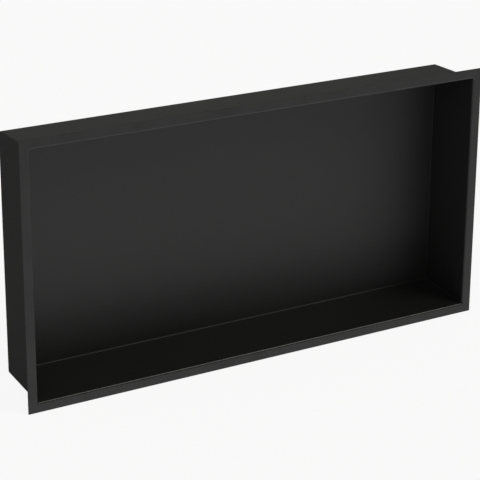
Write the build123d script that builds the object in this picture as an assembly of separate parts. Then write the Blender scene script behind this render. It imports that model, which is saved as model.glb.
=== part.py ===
from build123d import *
import os

# Shower niche insert: one sheet of steel folded into an open-fronted box, its corners
# welded shut, with a narrow flange turned outwards round the mouth.
# +X runs along the niche, +Y into the wall, +Z up. The origin is the middle of the mouth,
# on the plane where the flange's rear face lies on the finished wall.

# Driving dimensions, in millimetres
box_width = 600.0       # outside of the folded box, along X
box_height = 300.0      # outside of the folded box at its mouth, along Z
overall_depth = 80.0    # front of the flange to the back of the box, along Y
sheet = 1.2             # thickness of the coated sheet
flange_reach = 11.0     # flange beyond the outside of the box, on all four sides
floor_fall = 8.0        # drop of the floor from its back edge to the mouth, which sheds water
fold_inside = 1.3       # radius inside every fold
corner_inside = 1.5     # radius inside the welded corners, where two walls meet
edge_break = 0.25       # rounding of the flange's cut edges

# Values that follow from them
fold_outside = fold_inside + sheet
flange_width = box_width + 2 * flange_reach
flange_height = box_height + 2 * flange_reach
flange_front = -sheet
back_inside = overall_depth - 2 * sheet
floor_slope = floor_fall / (back_inside - flange_front)
half_width_inside = box_width / 2 - sheet
half_height_inside = box_height / 2 - sheet


def pocket(grow, front):
    """The room inside the box, grown by `grow` past its walls, floor and back, from `front` inwards."""
    half_width = half_width_inside + grow
    top = half_height_inside + grow
    back = back_inside + grow
    lowered = grow * (1 + floor_slope ** 2) ** 0.5

    def floor_at(depth):
        return -half_height_inside - lowered + floor_slope * (depth - flange_front)

    side_view = Plane.YZ * Polyline(
        (front, top),
        (back, top),
        (back, floor_at(back)),
        (front, floor_at(front)),
        close=True,
    )
    block = extrude(make_face(side_view), amount=half_width, dir=(1, 0, 0), both=True)

    # The four edges that run into the wall are the welded corners; the back's outline is folded.
    welded = [edge for edge in block.edges() if edge.bounding_box().size.Y > overall_depth / 2]
    block = fillet(welded, corner_inside + grow)
    folded = block.faces().sort_by(Axis.Y)[-1].edges()
    return fillet(folded, fold_inside + grow)


def flange_plate():
    """The flat flange before its middle is cut out, with its cut edges softened."""
    plate = Pos(0, flange_front / 2, 0) * Box(flange_width, sheet, flange_height)
    return fillet(plate.edges(), edge_break)


def mouth_outline(body, side):
    """The edges round the mouth on the flange's front (side 0) or rear (side 1)."""
    faces_across_depth = body.faces().filter_by(Axis.Y).sort_by(Axis.Y)
    return faces_across_depth[side].inner_wires()[0].edges()


def niche_body():
    """The whole insert, with the flange turned out of the walls on concentric radii."""
    clear_of_front = flange_front - sheet
    body = flange_plate() + pocket(sheet, flange_front / 2) - pocket(0, clear_of_front)
    body = fillet(mouth_outline(body, 0), fold_outside)
    return fillet(mouth_outline(body, 1), fold_inside)


os.makedirs("parts", exist_ok=True)
export_step(niche_body(), "parts/niche_body.step")
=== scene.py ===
import math

import bpy
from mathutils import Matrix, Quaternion, Vector


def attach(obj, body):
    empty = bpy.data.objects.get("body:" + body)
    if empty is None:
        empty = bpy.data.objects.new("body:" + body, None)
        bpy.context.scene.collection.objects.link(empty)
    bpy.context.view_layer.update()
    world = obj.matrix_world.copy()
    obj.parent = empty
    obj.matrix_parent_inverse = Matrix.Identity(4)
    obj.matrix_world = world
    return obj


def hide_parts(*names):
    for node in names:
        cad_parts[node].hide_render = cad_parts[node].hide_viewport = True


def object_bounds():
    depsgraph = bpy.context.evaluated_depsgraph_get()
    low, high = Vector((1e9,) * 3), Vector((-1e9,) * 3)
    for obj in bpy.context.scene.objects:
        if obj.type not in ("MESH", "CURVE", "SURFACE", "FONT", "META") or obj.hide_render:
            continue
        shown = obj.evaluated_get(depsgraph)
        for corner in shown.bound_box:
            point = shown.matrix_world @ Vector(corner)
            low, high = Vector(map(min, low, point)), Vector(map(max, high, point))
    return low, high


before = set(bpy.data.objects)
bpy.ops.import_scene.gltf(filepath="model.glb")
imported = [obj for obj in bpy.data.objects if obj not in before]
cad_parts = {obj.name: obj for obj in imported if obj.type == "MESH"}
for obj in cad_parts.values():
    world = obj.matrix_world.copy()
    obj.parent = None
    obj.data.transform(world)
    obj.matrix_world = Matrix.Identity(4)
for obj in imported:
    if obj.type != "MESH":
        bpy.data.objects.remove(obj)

# The looks of a shower niche insert: one folded, corner-welded steel sheet in a satin black coat.
# Everything is in metres in the part's own frame: +X along the niche, +Y into the wall, +Z up.

MM = 0.001
NODE = "niche_body"
cad_low, cad_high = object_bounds()

# The sheet's own sizes; the outer ones are read from the frame. The upright folds at the back are
# sharper inside than the others.
SHEET = 1.2 * MM
FLANGE_REACH = 11.0 * MM
FLOOR_FALL = 8.0 * MM
FOLD_INSIDE = 1.3 * MM
UPRIGHT_INSIDE = 0.4 * MM
FOLD_OUTSIDE = FOLD_INSIDE + SHEET
CORNER_INSIDE = 1.5 * MM
EDGE_BREAK = 0.25 * MM
FLANGE_CORNER = 0.3 * MM

# How finely the rounded places are stepped, the angle at which each corner of a ring starts, and how
# far the large flat faces lead the shading of the folds beside them
FOLD_STEPS = 10
EDGE_STEPS = 4
CORNER_STEPS = 10
CORNER_STARTS = [0.0, 0.5 * math.pi, math.pi, 1.5 * math.pi]
FLAT_WEIGHT = 100

# The coat: two near blacks; the deeper black of handling marks, the noise values at which they start
# and are full, and how far they cover then; and its gloss
COAT_DARK = (0.0070, 0.0070, 0.0071, 1.0)
COAT_LIGHT = (0.0094, 0.0093, 0.0092, 1.0)
SMUDGE_BLACK = (0.0020, 0.0020, 0.0021, 1.0)
SMUDGE_STARTS = 0.42
SMUDGE_FULL = 0.72
SMUDGE_MOST = 0.8
COAT_SPECULAR = 0.30
COAT_ROUGH_LEAST = 0.46
COAT_ROUGH_MOST = 0.54
LIP_SMOOTHING = 0.26

# The coat's noises: bumps to the metre, finer layers on them and how strong those layers are, and the
# height and strength of the two that stand up
LAYER_STRENGTH = 0.5
CLOUD_SCALE = 9.0
CLOUD_DETAIL = 3.0
SMUDGE_SCALE = 26.0
SMUDGE_DETAIL = 2.0
PEEL_SCALE = 900.0
PEEL_DETAIL = 2.0
PEEL_HEIGHT = 0.2 * MM
PEEL_STRENGTH = 0.10
GRAIN_SCALE = 3200.0
GRAIN_DETAIL = 3.0
GRAIN_LAYER_STRENGTH = 0.65
GRAIN_HEIGHT = 0.06 * MM
GRAIN_STRENGTH = 0.12

# Sockets that carry colours on Blender's mix node, and shaders on its shader mix node
MIX_FIRST = 6
MIX_SECOND = 7
MIX_RESULT = 2
SHADER_FIRST = 1
SHADER_SECOND = 2

# The stage: a white table top, and on it behind the left wall a painted shadow of the niche, a grey
# sheet that only reflections show
FLOOR_HALF = 10.0
PAPER = (0.9, 0.9, 0.9, 1.0)
WHITE = (1.0, 1.0, 1.0, 1.0)
PAPER_GLOW = 0.9
# The sheet of painted shadow: its sizes and slanted edge, its lift off the table, how far its grey
# fades, and its grey near the wall and far off
SHADOW_SHEET_WIDTH = 2.7
SHADOW_SHEET_DEPTH = 3.2
SHADOW_SHEET_SLANT = 0.9
SHADOW_SHEET_LIFT = 0.5 * MM
SHADOW_SHEET_FADE = 0.6
SHADOW_NEAR_GREY = 0.40
SHADOW_FAR_GREY = 0.04

# The light of the room, and its lamps, warm above the table top and neutral below it: name, degrees
# to the right of the front, degrees up, strength, degrees across
ROOM_IN_FRONT = 0.18
ROOM_BEHIND = 0.30
COLOR_ABOVE = (1.0, 0.98, 0.91)
COLOR_BELOW = (1.0, 1.0, 0.995)
LAMPS = [
    ("top", 42, 46, 0.93, 30),
    ("front", 326, 46, 0.42, 40),
    ("side", 66, 8, 0.4, 40),
    ("fill", 270, -14, 1.15, 60),
    ("rim", 160, 18, 0.06, 40),
    ("table_front", 8, -52, 1.8, 40),
    ("table_side", 66, -31, 1.35, 40),
]

# The camera that fits the photograph's edges
CAMERA_AIM = Vector((-34.8, -1.2, -1.5)) * MM
CAMERA_AZIMUTH = -30.99
CAMERA_ELEVATION = 19.97
CAMERA_ROLL = -0.33
CAMERA_DISTANCE = 2.132
CAMERA_LENS = 136.7
SENSOR = 36.0


def quarter(steps):
    """Angles from 0 to a right angle."""
    return [math.pi / 2 * step / steps for step in range(steps + 1)]


def upright_fold(from_back):
    """How far outwards from a side wall its sharp inside fold lies, at a distance from the back."""
    share = max(0.0, 1 - from_back / UPRIGHT_INSIDE)
    return -UPRIGHT_INSIDE * (1 - math.sqrt(1 - share ** 2))


def sheet_section():
    """The sheet's outline, from the back's inside over the flange and round to the back's outside.

    Each point is (distance outwards from the inside of the walls, the same at the two sides, depth
    along +Y, place on the mouth's fold), the last from 0 off the fold to 1 at its middle."""
    front = cad_low.y
    back_outside = cad_high.y
    back_inside = back_outside - SHEET
    edge = FLANGE_REACH + SHEET
    points = []
    for angle in quarter(FOLD_STEPS):
        out = -FOLD_INSIDE * (1 - math.sin(angle))
        from_back = FOLD_INSIDE * (1 - math.cos(angle))
        points.append((out, upright_fold(from_back), back_inside - from_back, 0.0))
    for angle in quarter(FOLD_STEPS):
        out = FOLD_OUTSIDE * (1 - math.cos(angle))
        points.append((out, out, front + FOLD_OUTSIDE * (1 - math.sin(angle)), math.sin(2 * angle)))
    for angle in quarter(EDGE_STEPS):
        out = edge - EDGE_BREAK * (1 - math.sin(angle))
        points.append((out, out, front + EDGE_BREAK * (1 - math.cos(angle)), 0.0))
    for angle in quarter(EDGE_STEPS):
        out = edge - EDGE_BREAK * (1 - math.cos(angle))
        points.append((out, out, -EDGE_BREAK * (1 - math.sin(angle)), 0.0))
    for angle in quarter(FOLD_STEPS):
        out = SHEET + FOLD_INSIDE * (1 - math.sin(angle))
        points.append((out, out, FOLD_INSIDE * (1 - math.cos(angle)), 0.0))
    for angle in quarter(FOLD_STEPS):
        out = SHEET - FOLD_OUTSIDE * (1 - math.cos(angle))
        points.append((out, out, back_outside - FOLD_OUTSIDE * (1 - math.sin(angle)), 0.0))
    return points


def ring(out, side_out, depth):
    """A rounded rectangle round the niche, `out` and `side_out` from the inside of the walls."""
    wall_x = cad_high.x - FLANGE_REACH - SHEET
    wall_z = cad_high.z - FLANGE_REACH - SHEET
    on_flange = out > FOLD_OUTSIDE + EDGE_BREAK
    slope = FLOOR_FALL / (cad_high.y - SHEET - cad_low.y)
    if on_flange:
        rise = 0.0
        radius = FLANGE_CORNER - (FLANGE_REACH + SHEET - out)
    else:
        rise = slope * (depth - cad_low.y)
        radius = CORNER_INSIDE + out
    half_width = wall_x + side_out
    top = wall_z + out
    bottom = -wall_z - out + rise
    corners = [
        (half_width - radius, top - radius),
        (radius - half_width, top - radius),
        (radius - half_width, bottom + radius),
        (half_width - radius, bottom + radius),
    ]
    points = []
    for (x, z), start in zip(corners, CORNER_STARTS):
        for angle in quarter(CORNER_STEPS):
            aside = radius * math.cos(start + angle)
            up = radius * math.sin(start + angle)
            points.append((x + aside, depth, z + up))
    return points


def mark_lower_lip(mesh, section):
    """Note on each point how far it is on the mouth's lower lip, where the coat is rubbed smoother."""
    angles = [start + angle for start in CORNER_STARTS for angle in quarter(CORNER_STEPS)]
    downwards = [max(0.0, -math.sin(angle)) for angle in angles]
    rubbed = [row[-1] * down for row in section for down in downwards]
    mesh.attributes.new("rubbed", "FLOAT", "POINT").data.foreach_set("value", rubbed)


def folded_sheet():
    """The niche as one closed mesh with finely rounded folds, in place of the CAD node."""
    section = sheet_section()
    rings = [ring(out, side_out, depth) for out, side_out, depth, on_fold in section]
    count = len(rings[0])
    points = [point for loop in rings for point in loop]
    faces = [list(range(count))]
    last = (len(rings) - 1) * count
    for near in range(0, last, count):
        far = near + count
        for here in range(count):
            following = (here + 1) % count
            faces.append([near + following, near + here, far + here, far + following])
    faces.append([last + here for here in reversed(range(count))])
    mesh = bpy.data.meshes.new("folded_sheet")
    mesh.from_pydata(points, [], faces)
    mesh.shade_smooth()
    mark_lower_lip(mesh, section)
    piece = bpy.data.objects.new("folded_sheet", mesh)
    bpy.context.scene.collection.objects.link(piece)
    flats = piece.modifiers.new("flat_panels", "WEIGHTED_NORMAL")
    flats.mode = "FACE_AREA"
    flats.weight = FLAT_WEIGHT
    return piece


class Nodes:
    """Short hand for the node tree of a material or the world."""

    def __init__(self, owner):
        owner.use_nodes = True
        self.tree = owner.node_tree
        self.tree.nodes.clear()

    def put(self, value, socket):
        """Link an output to the socket, or set a plain value on it."""
        if isinstance(value, bpy.types.NodeSocket):
            self.tree.links.new(value, socket)
        else:
            socket.default_value = value

    def add(self, kind, **inputs):
        """A new node with its inputs, whose names are written with _ for each space."""
        node = self.tree.nodes.new(kind)
        for name, value in inputs.items():
            self.put(value, node.inputs[name.replace("_", " ")])
        return node

    def noise(self, place, scale, detail, layer_strength=LAYER_STRENGTH):
        """A noise over the object: bumps to the metre, finer layers on them and how strong these are."""
        node = self.add("ShaderNodeTexNoise", Vector=place, Scale=scale, Detail=detail)
        self.put(layer_strength, node.inputs["Roughness"])
        return node.outputs["Fac"]

    def remap(self, value, low, high, start=0.0, end=1.0):
        """A value that goes from low to high while the given one goes from start to end."""
        node = self.add("ShaderNodeMapRange", Value=value, From_Min=start, From_Max=end)
        self.put(low, node.inputs["To Min"])
        self.put(high, node.inputs["To Max"])
        return node.outputs["Result"]

    def calculate(self, operation, *values):
        """A sum, product or the like of its values."""
        node = self.add("ShaderNodeMath")
        node.operation = operation
        for value, socket in zip(values, node.inputs):
            self.put(value, socket)
        return node.outputs["Value"]

    def blend(self, amount, first, second):
        """A colour between two others."""
        node = self.add("ShaderNodeMix", Factor=amount)
        node.data_type = "RGBA"
        self.put(first, node.inputs[MIX_FIRST])
        self.put(second, node.inputs[MIX_SECOND])
        return node.outputs[MIX_RESULT]

    def finish(self, shader, kind="ShaderNodeOutputMaterial"):
        """The tree's output, with the shader on it."""
        self.add(kind, Surface=shader)


def handling_marks(nodes, place):
    """How far handling has darkened the coat: faint clouds on the flange, 0 inside the box."""
    clouds = nodes.noise(place, SMUDGE_SCALE, SMUDGE_DETAIL)
    depth = nodes.add("ShaderNodeSeparateXYZ", Vector=place).outputs["Y"]
    on_flange = nodes.remap(depth, 0.0, 1.0, start=FOLD_OUTSIDE, end=-SHEET)
    patches = nodes.remap(clouds, 0.0, SMUDGE_MOST, start=SMUDGE_STARTS, end=SMUDGE_FULL)
    return nodes.calculate("MULTIPLY", on_flange, patches)


def black_coat():
    """Satin black coating: nearly black, softly glossy, with a fine orange peel."""
    material = bpy.data.materials.new("satin_black_coat")
    nodes = Nodes(material)
    place = nodes.add("ShaderNodeTexCoord").outputs["Object"]
    cloud = nodes.noise(place, CLOUD_SCALE, CLOUD_DETAIL)
    peel = nodes.noise(place, PEEL_SCALE, PEEL_DETAIL)
    grain = nodes.noise(place, GRAIN_SCALE, GRAIN_DETAIL, GRAIN_LAYER_STRENGTH)
    shade = nodes.blend(cloud, COAT_DARK, COAT_LIGHT)
    color = nodes.blend(handling_marks(nodes, place), shade, SMUDGE_BLACK)
    rubbed = nodes.add("ShaderNodeAttribute")
    rubbed.attribute_name = "rubbed"
    even = nodes.remap(cloud, COAT_ROUGH_LEAST, COAT_ROUGH_MOST)
    roughness = nodes.calculate("MULTIPLY_ADD", rubbed.outputs["Fac"], -LIP_SMOOTHING, even)
    soft = nodes.add("ShaderNodeBump", Strength=PEEL_STRENGTH, Distance=PEEL_HEIGHT, Height=peel)
    fine = nodes.add(
        "ShaderNodeBump",
        Strength=GRAIN_STRENGTH,
        Distance=GRAIN_HEIGHT,
        Height=grain,
        Normal=soft.outputs["Normal"],
    )
    shader = nodes.add(
        "ShaderNodeBsdfPrincipled",
        Base_Color=color,
        Roughness=roughness,
        Specular_IOR_Level=COAT_SPECULAR,
        Normal=fine.outputs["Normal"],
    )
    nodes.finish(shader.outputs["BSDF"])
    return material


def stage_sheet(name, corners, shader_of):
    """A flat stage piece with the shader that `shader_of` makes from a node tree."""
    mesh = bpy.data.meshes.new(name)
    mesh.from_pydata(corners, [], [(0, 1, 2, 3)])
    piece = bpy.data.objects.new(name, mesh)
    bpy.context.scene.collection.objects.link(piece)
    material = bpy.data.materials.new(name)
    nodes = Nodes(material)
    nodes.finish(shader_of(nodes))
    mesh.materials.append(material)
    return piece


def white_paper(nodes):
    """White paper that stays white to the eye and in reflections, and still takes a soft shadow."""
    path = nodes.add("ShaderNodeLightPath").outputs
    seen = path["Is Camera Ray"]
    for kind in ("Is Glossy Ray", "Is Transmission Ray"):
        seen = nodes.calculate("MAXIMUM", seen, path[kind])
    paper = nodes.add("ShaderNodeBsdfDiffuse", Color=PAPER).outputs["BSDF"]
    glow = nodes.add("ShaderNodeEmission", Color=WHITE, Strength=1.0).outputs["Emission"]
    mix = nodes.add("ShaderNodeMixShader", Fac=nodes.remap(seen, 0.0, PAPER_GLOW))
    nodes.put(paper, mix.inputs[SHADER_FIRST])
    nodes.put(glow, mix.inputs[SHADER_SECOND])
    return mix.outputs["Shader"]


def pale_floor():
    """A plain white table top under the flange's lower edge, which lets the light from below through."""
    height = cad_low.z
    corners = [
        (-FLOOR_HALF, -FLOOR_HALF, height),
        (FLOOR_HALF, -FLOOR_HALF, height),
        (FLOOR_HALF, FLOOR_HALF, height),
        (-FLOOR_HALF, FLOOR_HALF, height),
    ]
    floor = stage_sheet("floor", corners, white_paper)
    floor.visible_shadow = False


def painted_shadow_sheet():
    """A painted shadow of the niche on the floor behind the left wall: a grey sheet, darker further
    away, which only reflections show.
    """
    near = cad_low.x + FLANGE_REACH
    far = near - SHADOW_SHEET_WIDTH
    height = cad_low.z + SHADOW_SHEET_LIFT
    corners = [
        (near, 0.0, height),
        (near, SHADOW_SHEET_DEPTH, height),
        (far, SHADOW_SHEET_DEPTH, height),
        (far, SHADOW_SHEET_SLANT, height),
    ]

    def shaded(nodes):
        place = nodes.add("ShaderNodeTexCoord").outputs["Object"]
        aside = nodes.add("ShaderNodeSeparateXYZ", Vector=place).outputs["X"]
        grey = nodes.remap(aside, SHADOW_NEAR_GREY, SHADOW_FAR_GREY, start=near, end=near - SHADOW_SHEET_FADE)
        return nodes.add("ShaderNodeBsdfDiffuse", Color=grey).outputs["BSDF"]

    # The painted shadow is a stage sheet that the camera, diffuse light and shadow rays don't see
    shadow_sheet = stage_sheet("shadow_sheet", corners, shaded)
    shadow_sheet.visible_camera = False
    shadow_sheet.visible_diffuse = False
    shadow_sheet.visible_shadow = False
    shadow_sheet.visible_transmission = False


def direction(azimuth, elevation):
    """The direction that lies so many degrees to the right of the niche's front, and so many up."""
    aside = math.radians(azimuth)
    up = math.radians(elevation)
    return Vector((math.sin(aside) * math.cos(up), -math.cos(aside) * math.cos(up), math.sin(up)))


def studio_lamps():
    """Soft studio lamps above and below the table top, so far away that they light the niche evenly."""
    for name, azimuth, elevation, strength, across in LAMPS:
        data = bpy.data.lights.new(name, "SUN")
        data.energy = strength
        data.color = COLOR_ABOVE if elevation > 0 else COLOR_BELOW
        data.angle = math.radians(across)
        lamp = bpy.data.objects.new(name, data)
        lamp.rotation_mode = "QUATERNION"
        lamp.rotation_quaternion = direction(azimuth, elevation).to_track_quat("Z", "Y")
        bpy.context.scene.collection.objects.link(lamp)


def room_light():
    """A dim grey room, darker in front of the niche than behind it."""
    world = bpy.data.worlds.new("room")
    nodes = Nodes(world)
    towards = nodes.add("ShaderNodeTexCoord").outputs["Generated"]
    backwards = nodes.add("ShaderNodeSeparateXYZ", Vector=towards).outputs["Y"]
    level = nodes.remap(backwards, ROOM_IN_FRONT, ROOM_BEHIND, start=-1.0, end=1.0)
    background = nodes.add("ShaderNodeBackground", Strength=level)
    nodes.finish(background.outputs["Background"], "ShaderNodeOutputWorld")
    bpy.context.scene.world = world


def photo_camera():
    """The camera at the photograph's viewing angle."""
    back = direction(CAMERA_AZIMUTH, CAMERA_ELEVATION)
    roll = Quaternion((0, 0, 1), -math.radians(CAMERA_ROLL))
    data = bpy.data.cameras.new("camera")
    data.lens = CAMERA_LENS
    data.sensor_width = SENSOR
    camera = bpy.data.objects.new("camera", data)
    camera.location = CAMERA_AIM + back * CAMERA_DISTANCE
    camera.rotation_mode = "QUATERNION"
    camera.rotation_quaternion = (-back).to_track_quat("-Z", "Y") @ roll
    bpy.context.scene.collection.objects.link(camera)
    bpy.context.scene.camera = camera


sheet = folded_sheet()
sheet.data.materials.append(black_coat())
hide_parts(NODE)
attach(sheet, "root")
pale_floor()
painted_shadow_sheet()
studio_lamps()
room_light()
photo_camera()
bpy.context.scene.view_settings.view_transform = "Standard"
